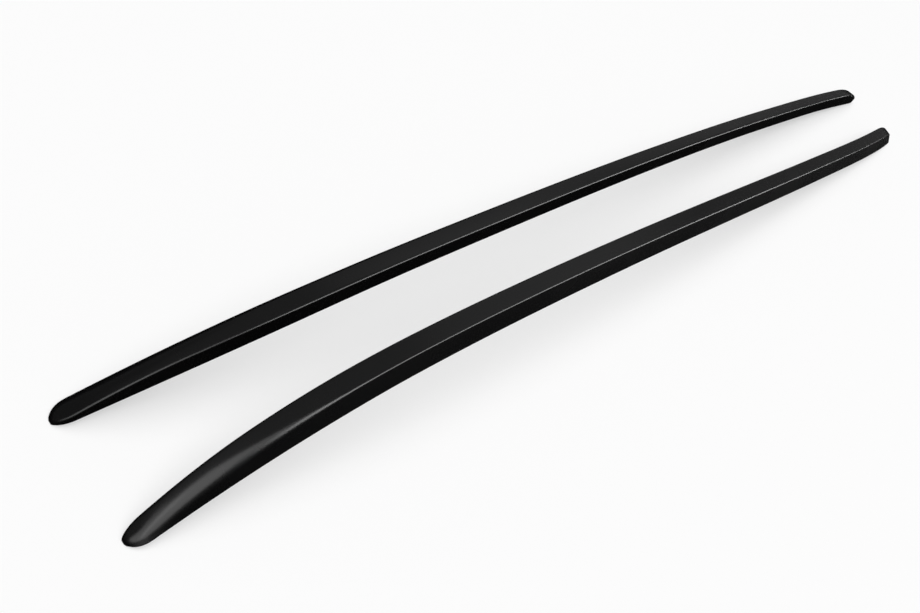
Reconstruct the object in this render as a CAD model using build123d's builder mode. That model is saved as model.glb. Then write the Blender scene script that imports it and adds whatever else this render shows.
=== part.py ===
from build123d import *
import os
from math import atan, cos, degrees, pi, sqrt

# Pair of roof side rails: a right-hand rail on the +Y side and its mirror image on the -Y side.
# X runs from the front tips to the rear tips, Z is up, and the origin lies on the ground
# half-way between the four tips. All sizes are in millimetres.

# Rail section, the same along the middle of the rail
rail_length = 1800
base_width = 35
inner_height = 30
outer_height = 25
inner_draw = 1
outer_draw = 12
crease_radius = 3

# Plan line: distance of the middle of the base from the plane between the two rails
front_spread = 71
front_toe = 0.1
waist_station = 340
waist_spread = 56
belly_station = 1350
belly_spread = 66.5
tail_spread = 57
tail_toe = 0.075

# Side line: height of the base above the ground, with its slope at both tips
nose_slope = 0.43
crown_station = 550
crown_rise = 82.5
tail_slope = 0.088

# Nose, where the section narrows, flattens, leans inwards and loses its outer crease
nose_width_share = 0.68
nose_width_reach = 260
nose_height_share = 0.22
nose_height_reach = 125
nose_round = 19
nose_lean = 3.5
nose_edge = 6
nose_crease_radius = 14
nose_crease_reach = 300

# Tail, a shorter tongue
tail_width_share = 0.9
tail_height_share = 0.2
tail_reach = 110
tail_round = 22
tail_edge = 8
tail_crease_radius = 7
tip_flat = 0.3

# Hollow underside of the casting
side_wall = 4.5
top_wall = 3
cavity_front = 75
cavity_rear = 65
rib_thickness = 2.5
rib_gap = 7
ribs_per_bay = 5

# Base seal, set into a recess under the rail
seal_inset = 2.5
seal_depth = 2
seal_proud = 0.5
seal_fit = 0.1
seal_front = 24
seal_rear = 30
window_width = 16
window_land = 16
seal_hole_radius = 5

# Threaded inserts pressed into the bosses
fixing_count = 3
fixing_front = 200
fixing_rear = 200
fixing_shift = 3
boss_radius = 7
insert_radius = 4.5
insert_length = 12
insert_recess = 1.5
insert_fit = 0.05
thread_radius = 2.5


def curve(a, knots):
    """Height of a smooth line at a, through knots of station, value and slope."""
    i = 0
    while i < len(knots) - 2 and a > knots[i + 1][0]:
        i += 1
    a0, v0, m0 = knots[i]
    a1, v1, m1 = knots[i + 1]
    span = a1 - a0
    t = (a - a0) / span
    start = (2 * t**3 - 3 * t**2 + 1) * v0 + (t**3 - 2 * t**2 + t) * span * m0
    end = (3 * t**2 - 2 * t**3) * v1 + (t**3 - t**2) * span * m1
    return start + end


def spread(a):
    """Distance of the base's middle from the plane between the rails."""
    front = (0, front_spread, -front_toe)
    waist = (waist_station, waist_spread, 0)
    belly = (belly_station, belly_spread, 0)
    tail = (rail_length, tail_spread, -tail_toe)
    return curve(a, (front, waist, belly, tail))


def rise(a):
    """Height of the base above the ground."""
    front = (0, 0, nose_slope)
    crown = (crown_station, crown_rise, 0)
    tail = (rail_length, 0, -tail_slope)
    return curve(a, (front, crown, tail))


def ease(distance, share, reach):
    """Grows from share at a tip to 1 at the end of the reach."""
    left = max(0, 1 - distance / reach)
    return 1 - (1 - share) * left**2


def fade(distance, reach):
    """Falls from 1 at a tip to 0 at the end of the reach."""
    return max(0, 1 - distance / reach) ** 2


def rounding(distance, depth):
    """Quarter ellipse that closes a tip, up to a narrow flat."""
    left = max(0, 1 - (distance + tip_flat) / depth)
    return sqrt(1 - left**2)


def width_share(a):
    rear = rail_length - a
    taper = ease(a, nose_width_share, nose_width_reach) * ease(rear, tail_width_share, tail_reach)
    return taper * rounding(a, nose_round) * rounding(rear, tail_round)


def height_share(a):
    rear = rail_length - a
    taper = ease(a, nose_height_share, nose_height_reach) * ease(rear, tail_height_share, tail_reach)
    return taper * rounding(a, nose_edge) * rounding(rear, tail_edge)


def corners(a):
    """Inner foot, inner crease, outer crease and outer foot of the section at a."""
    half = base_width / 2
    w = width_share(a)
    h = height_share(a)
    y = spread(a) - nose_lean * (1 - rounding(a, nose_round))
    z = rise(a)
    inner_foot = (y - half * w, z)
    inner_crease = (y - (half - inner_draw) * w, z + inner_height * h)
    outer_crease = (y + (half - outer_draw) * w, z + outer_height * h)
    outer_foot = (y + half * w, z)
    return inner_foot, inner_crease, outer_crease, outer_foot


def crease_radii(a):
    """Inner and outer crease radius at a; the outer one opens out over the nose."""
    rear = rail_length - a
    size = min(width_share(a), height_share(a))
    tail = (tail_crease_radius - crease_radius) * fade(rear, tail_reach)
    nose = (nose_crease_radius - crease_radius) * fade(a, nose_crease_reach)
    return (crease_radius + tail) * size, (crease_radius + tail + nose) * size


def station_plane(a):
    """Upright plane across the rail at a, with its own x to the right and y up."""
    return Plane(origin=(a - rail_length / 2, 0, 0), x_dir=(0, 1, 0), z_dir=(1, 0, 0))


def even_steps(start, end, count):
    """Stations between two points, closer together near both."""
    middle = (start + end) / 2
    half = (end - start) / 2
    return [middle - half * cos(pi * i / count) for i in range(count + 1)]


def tip_steps(depth, count):
    """Distances from a tip that follow its rounding, crowded at the tip."""
    return [depth * (i / count) ** 4 for i in range(count)]


def slanted(foot, crease, wall):
    """Point on the side from foot to crease, a wall's thickness below the crease."""
    t = 1 - wall / (crease[1] - foot[1])
    return foot[0] + (crease[0] - foot[0]) * t, foot[1] + (crease[1] - foot[1]) * t


# Stations of the rail's sections
tip_count = 5
body_count = 11
front_tip = tip_steps(nose_round, tip_count)
rear_tip = [rail_length - d for d in reversed(tip_steps(tail_round, tip_count))]
rail_stations = front_tip + even_steps(nose_round, rail_length - tail_round, body_count) + rear_tip
cavity_stations = even_steps(cavity_front, rail_length - cavity_rear, body_count)
seal_stations = even_steps(seal_front, rail_length - seal_rear, body_count)

# Stations of the fixings, and of the ribs between them
fixing_pitch = (rail_length - fixing_front - fixing_rear) / (fixing_count - 1)
fixing_stations = [fixing_front + fixing_pitch * i for i in range(fixing_count)]
rib_pitch = fixing_pitch / (ribs_per_bay + 1)
rib_stations = [
    a + rib_pitch * (i + 1) for a in fixing_stations[:-1] for i in range(ribs_per_bay)
]
tallest = max(inner_height, outer_height)


def fixing_points(height):
    """Points on the fixings' axes at a height above the base."""
    return [
        (a - rail_length / 2, spread(a) - fixing_shift, rise(a) + height) for a in fixing_stations
    ]


def strip_section(a, gap):
    """Section of the base strip at a, larger on its four sides by a gap."""
    inner_foot, _, _, outer_foot = corners(a)
    low = rise(a) - seal_proud - gap
    high = rise(a) + seal_depth + gap
    inset = seal_inset - gap
    with BuildSketch(station_plane(a)) as section:
        with BuildLine():
            Polyline(
                (inner_foot[0] + inset, low),
                (inner_foot[0] + inset, high),
                (outer_foot[0] - inset, high),
                (outer_foot[0] - inset, low),
                close=True,
            )
        make_face()
    return section.sketch


# Recess under the rail that takes the base seal
with BuildPart() as recess:
    loft(sections=[strip_section(a, seal_fit) for a in seal_stations])

# Hollow of the channel, without the bosses and ribs that stand in it
with BuildPart() as hollow:
    for a in cavity_stations:
        inner_foot, inner_crease, outer_crease, outer_foot = corners(a)
        inner_top = slanted(inner_foot, inner_crease, top_wall)
        outer_top = slanted(outer_foot, outer_crease, top_wall)
        low = rise(a) - seal_proud
        with BuildSketch(station_plane(a)):
            with BuildLine():
                Polyline(
                    (inner_foot[0] + side_wall, low),
                    (inner_top[0] + side_wall, inner_top[1]),
                    (outer_top[0] - side_wall, outer_top[1]),
                    (outer_foot[0] - side_wall, low),
                    close=True,
                )
            make_face()
    loft()
    with Locations(*fixing_points(-tallest)):
        Cylinder(
            boss_radius,
            3 * tallest,
            align=(Align.CENTER, Align.CENTER, Align.MIN),
            mode=Mode.SUBTRACT,
        )
    with Locations(*[(a - rail_length / 2, spread(a), rise(a) + rib_gap) for a in rib_stations]):
        Box(
            rib_thickness,
            base_width,
            tallest,
            align=(Align.CENTER, Align.CENTER, Align.MIN),
            mode=Mode.SUBTRACT,
        )

# Right-hand rail: one casting, open underneath
with BuildPart() as rail_right:
    for a in rail_stations:
        inner_foot, inner_crease, outer_crease, outer_foot = corners(a)
        with BuildSketch(station_plane(a)):
            with BuildLine():
                outline = FilletPolyline(
                    inner_foot, inner_crease, outer_crease, outer_foot, radius=crease_radii(a)
                )
                Line(outline @ 1, outline @ 0)
            make_face()
    loft()
    add(hollow.part, mode=Mode.SUBTRACT)
    add(recess.part, mode=Mode.SUBTRACT)
    with Locations(*fixing_points(0)):
        Cylinder(
            insert_radius,
            seal_depth + insert_recess + insert_length,
            align=(Align.CENTER, Align.CENTER, Align.MIN),
            mode=Mode.SUBTRACT,
        )

# Right-hand base seal: the strip with a hole at each fixing and a window in each bay
with BuildPart() as seal_right:
    loft(sections=[strip_section(a, 0) for a in seal_stations])
    with Locations(*fixing_points(-tallest)):
        Cylinder(
            seal_hole_radius,
            3 * tallest,
            align=(Align.CENTER, Align.CENTER, Align.MIN),
            mode=Mode.SUBTRACT,
        )
    for a in fixing_stations[:-1]:
        middle = a + fixing_pitch / 2
        near_end = a + window_land
        far_end = a + fixing_pitch - window_land
        across = (spread(near_end) + spread(far_end)) / 2
        turn = degrees(atan((spread(far_end) - spread(near_end)) / (far_end - near_end)))
        with BuildSketch(Plane.XY):
            with Locations((middle - rail_length / 2, across)):
                SlotOverall(far_end - near_end, window_width, rotation=turn)
        extrude(amount=crown_rise + tallest, mode=Mode.SUBTRACT)

# Right-hand threaded inserts, one in each boss
with BuildPart() as inserts_right:
    with Locations(*fixing_points(seal_depth + insert_recess)):
        Cylinder(
            insert_radius - insert_fit,
            insert_length,
            align=(Align.CENTER, Align.CENTER, Align.MIN),
        )
        Cylinder(
            thread_radius,
            insert_length,
            align=(Align.CENTER, Align.CENTER, Align.MIN),
            mode=Mode.SUBTRACT,
        )

# Left-hand pieces are mirror images
with BuildPart() as rail_left:
    mirror(rail_right.part, about=Plane.XZ)

with BuildPart() as seal_left:
    mirror(seal_right.part, about=Plane.XZ)

with BuildPart() as inserts_left:
    mirror(inserts_right.part, about=Plane.XZ)

# Files, one for each piece
pieces = {
    "rail_right": rail_right,
    "rail_left": rail_left,
    "base_seal_right": seal_right,
    "base_seal_left": seal_left,
    "threaded_inserts_right": inserts_right,
    "threaded_inserts_left": inserts_left,
}
os.makedirs("parts", exist_ok=True)
for name, piece in pieces.items():
    piece.part.label = name
    export_step(piece.part, f"parts/{name}.step")
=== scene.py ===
# %% [markdown]
# # A pair of roof side rails
#
# Two slim, arched rails for the roof of an estate car lie side by side on a pale studio floor.
# Each rail is one hollow casting with a satin black coating, a rubber seal under it and brass
# inserts for the screws that come up through the roof. The construction is loaded first, as a
# fixed frame in metres, and this lesson gives it its finishes, its light and its view.

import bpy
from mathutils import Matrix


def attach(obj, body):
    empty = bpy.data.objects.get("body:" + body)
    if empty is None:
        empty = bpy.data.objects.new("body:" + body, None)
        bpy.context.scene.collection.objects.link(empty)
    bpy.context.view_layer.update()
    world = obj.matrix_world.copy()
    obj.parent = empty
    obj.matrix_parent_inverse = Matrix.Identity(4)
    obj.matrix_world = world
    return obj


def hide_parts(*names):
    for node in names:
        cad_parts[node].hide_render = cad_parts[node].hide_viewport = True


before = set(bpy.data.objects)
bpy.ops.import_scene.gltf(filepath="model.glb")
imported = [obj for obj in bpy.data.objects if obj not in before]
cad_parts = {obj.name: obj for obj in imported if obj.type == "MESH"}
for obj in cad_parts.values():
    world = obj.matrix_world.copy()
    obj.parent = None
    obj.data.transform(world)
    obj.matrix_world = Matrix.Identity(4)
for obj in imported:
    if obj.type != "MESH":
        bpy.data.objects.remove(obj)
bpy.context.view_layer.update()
print("nodes:", sorted(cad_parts))

# %% [markdown]
# ## Tools for the lesson
#
# A finish in Blender is a small network of nodes. Four helpers keep the networks short: one starts
# a material with its Principled shader, one adds a node with its values set, one lays a noise on the
# piece, and one turns a pattern into a range of values. Patterns read the Object coordinates, which
# are metres here because every piece keeps its place in its mesh.

# %% Helpers for finishes
import bpy
import bmesh
import math
from mathutils import Matrix, Vector


def new_finish(name):
    finish = bpy.data.materials.new(name)
    finish.use_nodes = True
    return finish, finish.node_tree, finish.node_tree.nodes["Principled BSDF"]


def add_node(tree, kind, **values):
    node = tree.nodes.new(kind)
    for socket, value in values.items():
        node.inputs[socket].default_value = value
    return node


def noise_on_object(tree, scale, detail):
    place = tree.nodes.new("ShaderNodeTexCoord")
    noise = add_node(tree, "ShaderNodeTexNoise", Scale=scale, Detail=detail)
    tree.links.new(place.outputs["Object"], noise.inputs["Vector"])
    return noise


def map_range(tree, source, low, high):
    span = tree.nodes.new("ShaderNodeMapRange")
    span.inputs["To Min"].default_value = low
    span.inputs["To Max"].default_value = high
    tree.links.new(source, span.inputs["Value"])
    return span.outputs["Result"]


print("helpers ready")

# %% [markdown]
# ## Satin black coating
#
# The castings are coated with a smooth black powder. It is almost black, with a soft gloss that
# shows as thin lines along the creases. Powder melts into a faint orange-peel skin, so a fine bump
# breaks the reflections a little, and the gloss wanders slowly along the rail. One flat black would
# look like a hole in the picture; the small changes of gloss are what make it read as coated metal.

# %% Make the coating
coat_colour_low = (0.0020, 0.0020, 0.0021, 1)
coat_colour_high = (0.0036, 0.0036, 0.0038, 1)
coat_roughness_low = 0.23
coat_roughness_high = 0.31
coat_drift_scale = 9
coat_drift_detail = 2
coat_peel_scale = 420
coat_peel_detail = 1
coat_peel_strength = 0.3
coat_peel_depth = 0.00002
coat_specular = 0.35

coating, tree, shader = new_finish("satin_black_coating")
drift = noise_on_object(tree, coat_drift_scale, coat_drift_detail)
tint = tree.nodes.new("ShaderNodeMix")
tint.data_type = "RGBA"
tint.inputs["A"].default_value = coat_colour_low
tint.inputs["B"].default_value = coat_colour_high
tree.links.new(drift.outputs["Fac"], tint.inputs["Factor"])
tree.links.new(tint.outputs["Result"], shader.inputs["Base Color"])
gloss = map_range(tree, drift.outputs["Fac"], coat_roughness_low, coat_roughness_high)
tree.links.new(gloss, shader.inputs["Roughness"])
peel = noise_on_object(tree, coat_peel_scale, coat_peel_detail)
bump = add_node(tree, "ShaderNodeBump", Strength=coat_peel_strength, Distance=coat_peel_depth)
tree.links.new(peel.outputs["Fac"], bump.inputs["Height"])
tree.links.new(bump.outputs["Normal"], shader.inputs["Normal"])
shader.inputs["Specular IOR Level"].default_value = coat_specular
print("made", coating.name)

# %% [markdown]
# ## Seal rubber
#
# The strip under the rail is moulded rubber: black, dull and slightly mottled, with a fine grain
# from the mould. Its gloss is far lower than the coating's, so it stays quiet beside the metal.

# %% Make the rubber
rubber_low = (0.012, 0.012, 0.012, 1)
rubber_high = (0.024, 0.024, 0.023, 1)
rubber_roughness_low = 0.7
rubber_roughness_high = 0.85
rubber_mottle_scale = 60
rubber_mottle_detail = 3
rubber_grain_scale = 900
rubber_grain_detail = 1
rubber_grain_strength = 0.5
rubber_grain_depth = 0.00005
rubber_specular = 0.3

rubber, tree, shader = new_finish("moulded_rubber")
mottle = noise_on_object(tree, rubber_mottle_scale, rubber_mottle_detail)
tint = tree.nodes.new("ShaderNodeMix")
tint.data_type = "RGBA"
tint.inputs["A"].default_value = rubber_low
tint.inputs["B"].default_value = rubber_high
tree.links.new(mottle.outputs["Fac"], tint.inputs["Factor"])
tree.links.new(tint.outputs["Result"], shader.inputs["Base Color"])
dull = map_range(tree, mottle.outputs["Fac"], rubber_roughness_low, rubber_roughness_high)
tree.links.new(dull, shader.inputs["Roughness"])
grain = noise_on_object(tree, rubber_grain_scale, rubber_grain_detail)
bump = add_node(tree, "ShaderNodeBump", Strength=rubber_grain_strength, Distance=rubber_grain_depth)
tree.links.new(grain.outputs["Fac"], bump.inputs["Height"])
tree.links.new(bump.outputs["Normal"], shader.inputs["Normal"])
shader.inputs["Specular IOR Level"].default_value = rubber_specular
print("made", rubber.name)

# %% [markdown]
# ## Turned brass
#
# The inserts are turned from brass bar. A tool leaves fine rings, which lie across the axis, so a
# band pattern along Z carries the bump, and a slow noise carries the tarnish.

# %% Make the brass
brass_bright = (0.76, 0.56, 0.25, 1)
brass_dull = (0.48, 0.33, 0.14, 1)
brass_roughness_low = 0.22
brass_roughness_high = 0.42
tarnish_scale = 160
tarnish_detail = 3
tool_mark_scale = 1200
tool_mark_strength = 0.3
tool_mark_depth = 0.00002

brass, tree, shader = new_finish("turned_brass")
tarnish = noise_on_object(tree, tarnish_scale, tarnish_detail)
tint = tree.nodes.new("ShaderNodeMix")
tint.data_type = "RGBA"
tint.inputs["A"].default_value = brass_bright
tint.inputs["B"].default_value = brass_dull
tree.links.new(tarnish.outputs["Fac"], tint.inputs["Factor"])
tree.links.new(tint.outputs["Result"], shader.inputs["Base Color"])
polish = map_range(tree, tarnish.outputs["Fac"], brass_roughness_low, brass_roughness_high)
tree.links.new(polish, shader.inputs["Roughness"])
place = tree.nodes.new("ShaderNodeTexCoord")
rings = add_node(tree, "ShaderNodeTexWave", Scale=tool_mark_scale)
rings.bands_direction = "Z"
tree.links.new(place.outputs["Object"], rings.inputs["Vector"])
bump = add_node(tree, "ShaderNodeBump", Strength=tool_mark_strength, Distance=tool_mark_depth)
tree.links.new(rings.outputs["Fac"], bump.inputs["Height"])
tree.links.new(bump.outputs["Normal"], shader.inputs["Normal"])
shader.inputs["Metallic"].default_value = 1
print("made", brass.name)

# %% [markdown]
# ## Lines of the rail
#
# The construction arrives as coarse triangles, which show as kinks in the thin lights along the
# creases. The outside of each rail is therefore drawn once more, finely, from the lines that the
# casting was designed on: a plan line, a side line, and a section that narrows and flattens towards
# both tips. Sizes are in millimetres, with stations counted from the front tip.

# %% Draw the plan line and the side line
rail_length = 1800
waist_station = 340
belly_station = 1350
crown_station = 550
spread_knots = (
    (0, 71, -0.1),
    (waist_station, 56, 0),
    (belly_station, 66.5, 0),
    (rail_length, 57, -0.075),
)
rise_knots = (
    (0, 0, 0.43),
    (crown_station, 82.5, 0),
    (rail_length, 0, -0.088),
)


def line_at(station, knots):
    """Value of a smooth line through knots of station, value and slope."""
    index = 0
    while index < len(knots) - 2 and station > knots[index + 1][0]:
        index += 1
    start, low, low_slope = knots[index]
    end, high, high_slope = knots[index + 1]
    span = end - start
    t = (station - start) / span
    value = low + (high - low) * (3 - 2 * t) * t**2
    return value + span * t * (1 - t) * (low_slope * (1 - t) - high_slope * t)


print("spread at the waist", line_at(waist_station, spread_knots), "mm")

# %% [markdown]
# ## Section of the rail
#
# Across the rail, an upright inner side, a sloping top and a slanted outer side meet in two
# creases. Each tip closes in a quarter ellipse, and the outer crease opens into a broad crown over
# the nose. A crease could be bevelled on a finished mesh, but its radius changes along the rail,
# so the section carries the rounding itself.

# %% Write the rules for tips and creases
tip_flat = 0.3
arc_steps = 12


def ease(distance, share, reach):
    """Share of the full size, which grows to 1 over the reach."""
    return 1 - (1 - share) * max(0, 1 - distance / reach) ** 2


def fade(distance, reach):
    """Weight that falls from 1 at the tip to 0 at the reach."""
    return max(0, 1 - distance / reach) ** 2


def rounding(distance, depth):
    """Quarter ellipse that closes a tip over its depth."""
    return math.sqrt(1 - max(0, 1 - (distance + tip_flat) / depth) ** 2)


def crease_arc(before, corner, after, radius, room_share):
    """Points of a rounded corner, from the side before it to the side after it."""
    back = (before - corner).normalized()
    ahead = (after - corner).normalized()
    half = back.angle(ahead) / 2
    room = min((before - corner).length, (after - corner).length) * room_share
    radius = min(radius, room * math.tan(half))
    centre = corner + (back + ahead).normalized() * radius / math.sin(half)
    start = corner + back * radius / math.tan(half) - centre
    end = corner + ahead * radius / math.tan(half) - centre
    turn = start.angle(end)
    points = []
    for step in range(arc_steps + 1):
        t = step / arc_steps
        spoke = start * math.sin((1 - t) * turn) + end * math.sin(t * turn)
        points.append(centre + spoke / math.sin(turn))
    return points


print("points in a crease:", arc_steps + 1)

# %% Draw one section
base_width = 35
inner_height = 30
outer_height = 25
inner_draw = 1
outer_draw = 12
crease_radius = 3
crown_radius = 55
crown_reach = 300
tail_crease_radius = 8
tail_reach = 110
inner_room = 0.6
outer_room = 0.65
nose_width_share = 0.68
nose_width_reach = 260
nose_height_share = 0.17
nose_height_reach = 125
tail_width_share = 0.9
tail_height_share = 0.28
tail_height_reach = 100
nose_lean = 3.5
nose_round = 19
nose_edge = 6
tail_round = 28
tail_edge = 8
skirt = 3


def rail_section(station):
    """Outline across the rail, with a skirt that hangs below the base."""
    rear = rail_length - station
    wide = ease(station, nose_width_share, nose_width_reach)
    wide *= ease(rear, tail_width_share, tail_reach)
    wide *= rounding(station, nose_round) * rounding(rear, tail_round)
    tall = ease(station, nose_height_share, nose_height_reach)
    tall *= ease(rear, tail_height_share, tail_height_reach)
    tall *= rounding(station, nose_edge) * rounding(rear, tail_edge)
    middle = line_at(station, spread_knots) - nose_lean * (1 - rounding(station, nose_round))
    base = line_at(station, rise_knots)
    half = base_width / 2 * wide
    inner_foot = Vector((middle - half, base))
    inner_crease = Vector((middle - half + inner_draw * wide, base + inner_height * tall))
    outer_crease = Vector((middle + half - outer_draw * wide, base + outer_height * tall))
    outer_foot = Vector((middle + half, base))
    inner_radius = crease_radius + (tail_crease_radius - crease_radius) * fade(rear, tail_reach)
    outer_radius = inner_radius + (crown_radius - crease_radius) * fade(station, crown_reach)
    size = min(wide, tall)
    inner_hem = inner_foot + (inner_foot - inner_crease).normalized() * skirt
    outer_hem = outer_foot + (outer_foot - outer_crease).normalized() * skirt
    inner_arc = crease_arc(inner_foot, inner_crease, outer_crease, inner_radius, inner_room)
    outer_arc = crease_arc(
        inner_crease, outer_crease, outer_foot, outer_radius * size, outer_room
    )
    return [inner_hem] + inner_arc + outer_arc + [outer_hem]


print("points in a section:", len(rail_section(rail_length / 2)))

# %% [markdown]
# ## Fine outer skin
#
# The skin is a loft: one loop of edges for each section, and a bridge between each pair of
# neighbours. The stations crowd together at the tips, where the outline turns fastest.

# %% Bridge the sections
body_step = 9
tip_steps = 16
millimetre = 0.001

tip_shares = [(step / tip_steps) ** 2 for step in range(tip_steps)]
body_length = rail_length - nose_round - tail_round
body_count = round(body_length / body_step)
stations = [nose_round * share for share in tip_shares]
stations += [nose_round + body_length * step / body_count for step in range(body_count + 1)]
stations += [rail_length - tail_round * share for share in reversed(tip_shares)]


def to_object(name, shape):
    mesh = bpy.data.meshes.new(name)
    shape.to_mesh(mesh)
    shape.free()
    holder = bpy.data.objects.new(name, mesh)
    bpy.context.scene.collection.objects.link(holder)
    return holder


skin = bmesh.new()
loops = []
for station in stations:
    ring = [skin.verts.new((station - rail_length / 2, y, z)) for y, z in rail_section(station)]
    loops.append([skin.edges.new(pair) for pair in zip(ring, ring[1:] + ring[:1])])
for front, rear in zip(loops, loops[1:]):
    bmesh.ops.bridge_loops(skin, edges=front + rear)
bmesh.ops.holes_fill(skin, edges=loops[0] + loops[-1])
bmesh.ops.scale(skin, verts=skin.verts, vec=(millimetre, millimetre, millimetre))
bmesh.ops.recalc_face_normals(skin, faces=skin.faces)
print("skin faces:", len(skin.faces), "open edges:", sum(edge.is_boundary for edge in skin.edges))
skin_holder = to_object("fine_skin", skin)

# %% [markdown]
# ## Hollow of the casting
#
# The underside, with its ribs, bosses and recess, comes from the construction as it is. A copy of
# the rail has its outside pushed out by a margin, so that only its hollow still counts, and the
# part that it shares with the fine skin is the finished rail. A boolean does that in one step, and
# it closes the seam along the foot by itself. A weld then takes out the slivers along that seam,
# and a loose flap, where the boolean leaves one, is cut away.

# %% Push the outside of a copy out
push = 0.0025
level_normal = 0.9
walk_angle = math.radians(60)
weld = 0.000001


def outside_faces(shape):
    """Faces met on a walk from the top of the rail that never turns a sharp edge."""
    upward = [face for face in shape.faces if face.normal.z > level_normal]
    start = max(upward, key=lambda face: face.calc_center_median().z)
    found = {start}
    waiting = [start]
    while waiting:
        face = waiting.pop()
        for edge in face.edges:
            for other in edge.link_faces:
                if other not in found and face.normal.angle(other.normal, math.pi) < walk_angle:
                    found.add(other)
                    waiting.append(other)
    return found


hollow = bmesh.new()
hollow.from_mesh(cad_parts["rail_right"].data)
bmesh.ops.remove_doubles(hollow, verts=hollow.verts, dist=weld)
bmesh.ops.dissolve_degenerate(hollow, edges=hollow.edges, dist=weld)
hollow.normal_update()
outside = outside_faces(hollow)
moves = {}
for vert in {vert for face in outside for vert in face.verts}:
    way = sum((face.normal for face in vert.link_faces if face in outside), Vector())
    if any(face not in outside for face in vert.link_faces):
        way.z = 0
    moves[vert] = way.normalized() * push
for vert, move in moves.items():
    vert.co += move
print("outside faces:", len(outside), "of", len(hollow.faces))
hollow_holder = to_object("hollow", hollow)

# %% Cut the skin with the hollow
cut = skin_holder.modifiers.new("hollow", "BOOLEAN")
cut.operation = "INTERSECT"
cut.solver = "EXACT"
cut.object = hollow_holder
bpy.context.view_layer.update()
evaluated = skin_holder.evaluated_get(bpy.context.evaluated_depsgraph_get())
rail_mesh = bpy.data.meshes.new_from_object(evaluated)
bpy.data.objects.remove(skin_holder)
bpy.data.objects.remove(hollow_holder)
print("faces after the cut:", len(rail_mesh.polygons))

# %% Clean the seam
seam_weld = 0.00005

seam = bmesh.new()
seam.from_mesh(rail_mesh)
bmesh.ops.remove_doubles(seam, verts=seam.verts, dist=seam_weld)
bmesh.ops.dissolve_degenerate(seam, edges=seam.edges, dist=seam_weld)
flaps = [face for face in seam.faces if any(edge.is_boundary for edge in face.edges)]
bmesh.ops.delete(seam, geom=flaps, context="FACES")
bmesh.ops.holes_fill(seam, edges=[edge for edge in seam.edges if edge.is_boundary])
print("open edges:", sum(not edge.is_manifold for edge in seam.edges))
seam.to_mesh(rail_mesh)
seam.free()
print("rail faces:", len(rail_mesh.polygons))

# %% [markdown]
# ## The two rails
#
# The left-hand rail is the mirror image of the right-hand one. Mirroring turns the faces inside
# out, so they are reversed. Shading is smooth, apart from edges that are sharp on the casting.

# %% Make both rails
sharp_angle = math.radians(35)

finished_rails = {}
for hand, side in (("right", 1), ("left", -1)):
    shape = bmesh.new()
    shape.from_mesh(rail_mesh)
    bmesh.ops.scale(shape, verts=shape.verts, vec=(1, side, 1))
    if side < 0:
        bmesh.ops.reverse_faces(shape, faces=shape.faces)
    for face in shape.faces:
        face.smooth = True
    for edge in shape.edges:
        edge.smooth = edge.calc_face_angle(math.pi) < sharp_angle
    rail = to_object("casting_" + hand, shape)
    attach(rail, "root")
    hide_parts("rail_" + hand)
    finished_rails[hand] = rail
    print(rail.name, len(rail.data.polygons), "faces")

# %% [markdown]
# ## Dress the construction
#
# The fine rails stand for the two castings. The seals and the inserts already have the right shape,
# so they only get their finish. The slot of a node is replaced, never its mesh.

# %% Give each node its finish
for rail in finished_rails.values():
    rail.data.materials.clear()
    rail.data.materials.append(coating)
node_finish = {
    "rail_right": coating,
    "rail_left": coating,
    "base_seal_right": rubber,
    "base_seal_left": rubber,
    "threaded_inserts_right": brass,
    "threaded_inserts_left": brass,
}
for node, finish in node_finish.items():
    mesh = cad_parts[node].data
    mesh.materials.clear()
    mesh.materials.append(finish)
    print(node, "->", finish.name)

# %% [markdown]
# ## Floor
#
# The floor is a plain pale sheet, large enough to fill the view. Part of what the camera sees of it
# is a plain white of its own, as on a lit table, which thins the shadow without more light on the
# rails. Light Path tells the camera's rays, and those of reflections, from the rest.

# %% Lay the floor
floor_size = 40
floor_colour = (0.93, 0.93, 0.93, 1)
floor_white_share = 0.5
floor_white_strength = 1
paper_roughness = 0.9
paper_specular = 0.1


def lay_sheet(name, size, height, finish):
    shape = bmesh.new()
    bmesh.ops.create_grid(shape, x_segments=1, y_segments=1, size=size / 2)
    bmesh.ops.translate(shape, verts=shape.verts, vec=(0, 0, height))
    sheet = to_object(name, shape)
    sheet.data.materials.append(finish)
    return sheet


paper, tree, shader = new_finish("pale_paper")
shader.inputs["Base Color"].default_value = floor_colour
shader.inputs["Roughness"].default_value = paper_roughness
shader.inputs["Specular IOR Level"].default_value = paper_specular
rays = tree.nodes.new("ShaderNodeLightPath")
seen = rays.outputs["Is Camera Ray"]
for kind in ("Is Glossy Ray", "Is Transmission Ray"):
    either = tree.nodes.new("ShaderNodeMath")
    either.operation = "MAXIMUM"
    tree.links.new(seen, either.inputs[0])
    tree.links.new(rays.outputs[kind], either.inputs[1])
    seen = either.outputs["Value"]
share = map_range(tree, seen, 0, floor_white_share)
white = add_node(tree, "ShaderNodeEmission", Strength=floor_white_strength)
blend = tree.nodes.new("ShaderNodeMixShader")
tree.links.new(share, blend.inputs["Fac"])
tree.links.new(shader.outputs["BSDF"], blend.inputs[1])
tree.links.new(white.outputs["Emission"], blend.inputs[2])
tree.links.new(blend.outputs["Shader"], tree.nodes["Material Output"].inputs["Surface"])
lay_sheet("floor", floor_size, 0, paper)
print("floor", floor_size, "m")

# %% [markdown]
# ## Light
#
# The rails stand in a white studio tent. One broad lamp over the floor stands for its roof: a sun
# with a wide disc, so that the light falls alike on the whole floor and the shadow is soft. A
# smooth black coating shows little of such light but its reflection, and a bright roof all over
# would turn the top faces grey. The roof is therefore kept out of the reflections, and the panels
# of the next step decide what the coating mirrors.

# %% Hang the tent lamp
world_colour = (1, 1, 1, 1)
world_strength = 0.14
tent_strength = 2.75
tent_width = math.radians(80)
tent_height = 2

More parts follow.
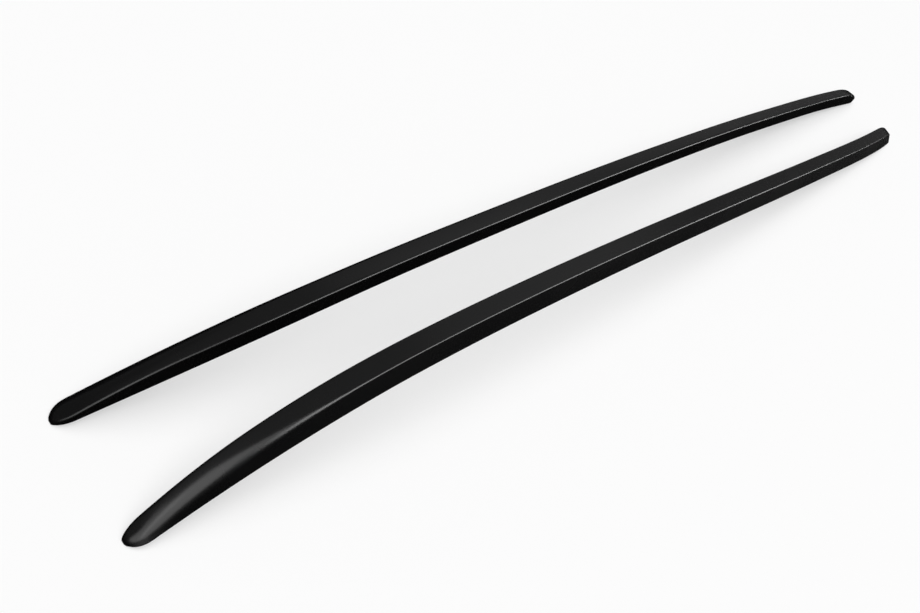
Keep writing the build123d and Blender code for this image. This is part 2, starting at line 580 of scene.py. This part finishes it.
world = bpy.data.worlds.new("studio")
bpy.context.scene.world = world
world.use_nodes = True
sky = world.node_tree.nodes["Background"]
sky.inputs["Color"].default_value = world_colour
sky.inputs["Strength"].default_value = world_strength


def hang(name, lamp, place, aim):
    holder = bpy.data.objects.new(name, lamp)
    turn = (Vector(aim) - Vector(place)).to_track_quat("-Z", "Y").to_matrix().to_4x4()
    holder.matrix_world = Matrix.Translation(place) @ turn
    bpy.context.scene.collection.objects.link(holder)
    return holder


tent = bpy.data.lights.new("tent_lamp", "SUN")
tent.energy = tent_strength
tent.angle = tent_width
tent_holder = hang("tent_lamp", tent, (0, 0, tent_height), (0, 0, 0))
tent_holder.visible_glossy = False
print("tent lamp hung")

# %% [markdown]
# ## What the coating mirrors
#
# A black product shows little but reflections, so a photographer sets panels and cards round it.
# Two panels overhead, the front one dimmer, give the top faces their grey sheen. A panel beside the
# noses puts the broad gleam on their crowns, and a smaller one in front carries it on to the tips.
# A long strip, low on the left-hand side, draws the thin line along each crease, and a weaker one
# opposite traces the other edges. All of them are kept to reflections here, so that the floor stays
# evenly white.

# %% Hang the panels overhead
roof_height = 1.6
roof_width = 2.6
roof_side = 0.5
rear_roof_length = 1.9
rear_roof_middle = 1.25
rear_roof_power = 5.6
front_roof_length = 2.2
front_roof_middle = -1
front_roof_power = 2.6


def hang_panel(name, length, width, power, place, aim):
    panel = bpy.data.lights.new(name, "AREA")
    panel.shape = "RECTANGLE"
    panel.size = length
    panel.size_y = width
    panel.energy = power
    hang(name, panel, place, aim).visible_diffuse = False
    print(name, length, "x", width, "m")


def hang_roof(name, length, middle, power):
    under = (middle, roof_side, 0)
    hang_panel(name, length, roof_width, power, (middle, roof_side, roof_height), under)


hang_roof("rear_roof", rear_roof_length, rear_roof_middle, rear_roof_power)
hang_roof("front_roof", front_roof_length, front_roof_middle, front_roof_power)

# %% Hang the strips at the sides
strip_length = 7.8
strip_width = 1.2
strip_middle = 3.75
strip_reach = 2.4
strip_height = 1.35
left_strip_power = 250
right_strip_power = 2.5


def hang_strip(name, side, power):
    place = (strip_middle, side * strip_reach, strip_height)
    hang_panel(name, strip_length, strip_width, power, place, (strip_middle, 0, 0))


hang_strip("left_strip", -1, left_strip_power)
hang_strip("right_strip", 1, right_strip_power)

# %% Hang the panels at the noses
nose_place = (-0.8, 0, 0)
nose_panel_size = 2.2
nose_panel_place = (-1.6, -2.2, 1.7)
nose_panel_power = 44
tip_panel_size = 1.6
tip_panel_place = (-2.7, -1.2, 1.25)
tip_panel_power = 20


def hang_nose_panel(name, size, power, place):
    hang_panel(name, size, size, power, place, nose_place)


hang_nose_panel("nose_panel", nose_panel_size, nose_panel_power, nose_panel_place)
hang_nose_panel("tip_panel", tip_panel_size, tip_panel_power, tip_panel_place)

# %% [markdown]
# ## Dark card
#
# Seen from above, the sides of the rails would mirror the white floor. A sheet of dark felt just
# above it keeps them black. Only the reflections know of it: the camera, the soft light and the
# shadows pass through.

# %% Lay the dark card
card_size = 12
card_gap = 0.001
felt_colour = (0.005, 0.005, 0.005, 1)
felt_roughness = 1
felt_specular = 0

felt, tree, shader = new_finish("dark_felt")
shader.inputs["Base Color"].default_value = felt_colour
shader.inputs["Roughness"].default_value = felt_roughness
shader.inputs["Specular IOR Level"].default_value = felt_specular
card = lay_sheet("dark_card", card_size, card_gap, felt)
card.visible_camera = False
card.visible_diffuse = False
card.visible_transmission = False
card.visible_shadow = False
print("dark card", card_size, "m")

# %% [markdown]
# ## Camera
#
# The rails are seen from above their front tips, from the left-hand side, with the camera turned
# about its own axis so that they climb across the picture.

# %% Place the camera
view_azimuth = math.radians(-70.45)
view_elevation = math.radians(45.61)
view_roll = math.radians(38.52)
view_distance = 1.2307
view_target = Vector((-0.3903, 0, 0))
image_width = 920
focal_pixels = 965.4
sensor_width = 36

back = Vector((
    math.sin(view_azimuth) * math.cos(view_elevation),
    -math.cos(view_azimuth) * math.cos(view_elevation),
    math.sin(view_elevation),
))
level = Vector((math.cos(view_azimuth), math.sin(view_azimuth), 0))
upright = back.cross(level)
right = level * math.cos(view_roll) + upright * math.sin(view_roll)
up = upright * math.cos(view_roll) - level * math.sin(view_roll)
camera = bpy.data.objects.new("camera", bpy.data.cameras.new("camera"))
camera.data.sensor_width = sensor_width
camera.data.lens = focal_pixels / image_width * sensor_width
turn = Matrix((right, up, back)).transposed().to_4x4()
camera.matrix_world = Matrix.Translation(view_target + back * view_distance) @ turn
bpy.context.scene.collection.objects.link(camera)
bpy.context.scene.camera = camera
bpy.context.scene.view_settings.view_transform = "Standard"
print("camera at", tuple(round(v, 3) for v in camera.location))
